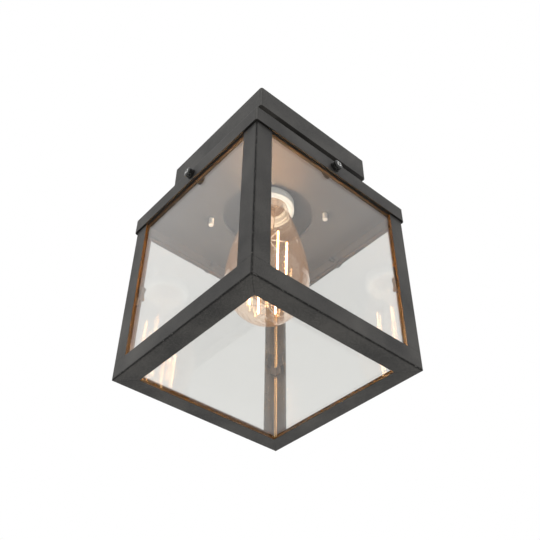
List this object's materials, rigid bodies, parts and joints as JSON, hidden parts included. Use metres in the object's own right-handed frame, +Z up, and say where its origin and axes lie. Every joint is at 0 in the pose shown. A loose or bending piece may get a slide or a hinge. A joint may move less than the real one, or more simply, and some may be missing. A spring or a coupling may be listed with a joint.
{
  "type": "ceiling lantern",
  "caption": "Square porch ceiling lantern: dark steel frame with clear panes under a folded lid, neck and canopy, with a screw-in filament bulb.",
  "frame": {"origin": "on the ceiling plane, on the vertical axis of the lantern, midway between the two ceiling slots", "axes": "+Z up into the ceiling; the lantern hangs to -Z; X runs along the ceiling strap"},
  "size_m": [0.1684, 0.1684, 0.2235],
  "materials": {
    "dark_steel": "structured dark grey powder coat",
    "clear_glass": "clear float and blown glass",
    "black_steel": "black coated screw heads and washers",
    "white_ceramic": "white ceramic, satin",
    "brass": "plain sheet brass",
    "brown_sleeve": "brown insulation",
    "green_sleeve": "green and yellow insulation",
    "black_ceramic": "black glass insulator of the cap",
    "filament": "warm white coating, lit",
    "zinc_steel": "zinc plated steel"
  },
  "bodies": {
    "lid_assembly": {"canopy": "dark_steel", "ceiling_strap": "zinc_steel", "neck": "dark_steel", "neck_screws": "zinc_steel", "neck_nuts": "zinc_steel", "lid": "dark_steel", "reflector": "dark_steel", "holder_bracket": "dark_steel", "roof_screws": "zinc_steel", "holder_body": "white_ceramic", "holder_collar": "white_ceramic", "holder_shell": "brass", "holder_contact": "brass", "holder_terminals": "brass", "connector_block": "white_ceramic", "connector_screws": "brass", "lamp_leads": "brown_sleeve", "earth_lead": "green_sleeve", "earth_tag": "zinc_steel"},
    "cage": {"post_near": "dark_steel", "post_left": "dark_steel", "post_right": "dark_steel", "post_far": "dark_steel", "rail_bottom_front": "dark_steel", "rail_bottom_right": "dark_steel", "rail_bottom_back": "dark_steel", "rail_bottom_left": "dark_steel", "rail_top_front": "dark_steel", "rail_top_right": "dark_steel", "rail_top_back": "dark_steel", "rail_top_left": "dark_steel", "pane_front": "clear_glass", "pane_right": "clear_glass", "pane_back": "clear_glass", "pane_left": "clear_glass", "pane_bottom": "clear_glass", "corner_clips": "dark_steel"},
    "bulb": {"bulb_glass": "clear_glass", "bulb_cap": "zinc_steel", "bulb_insulator": "black_ceramic", "bulb_contact": "zinc_steel", "bulb_stem": "clear_glass", "bulb_wires": "zinc_steel", "bulb_filaments": "filament"},
    "screw_front": {"side_screw_front": "black_steel"},
    "screw_right": {"side_screw_right": "black_steel"},
    "screw_back": {"side_screw_back": "black_steel"},
    "screw_left": {"side_screw_left": "black_steel"}
  },
  "joints": [
    {"name": "cage_drop", "type": "slide", "parent": "lid_assembly", "child": "cage", "axis": [0, 0, -1], "range_m": [0, 0.11]},
    {"name": "bulb_out", "type": "slide", "parent": "lid_assembly", "child": "bulb", "axis": [0, 0, -1], "range_m": [0, 0.045]},
    {"name": "side_screw_front_out", "type": "slide", "parent": "lid_assembly", "child": "screw_front", "axis": [0, -1, 0], "range_m": [0, 0.012]},
    {"name": "side_screw_right_out", "type": "slide", "parent": "lid_assembly", "child": "screw_right", "axis": [1, 0, 0], "range_m": [0, 0.012]},
    {"name": "side_screw_back_out", "type": "slide", "parent": "lid_assembly", "child": "screw_back", "axis": [0, 1, 0], "range_m": [0, 0.012]},
    {"name": "side_screw_left_out", "type": "slide", "parent": "lid_assembly", "child": "screw_left", "axis": [-1, 0, 0], "range_m": [0, 0.012]}
  ]
}
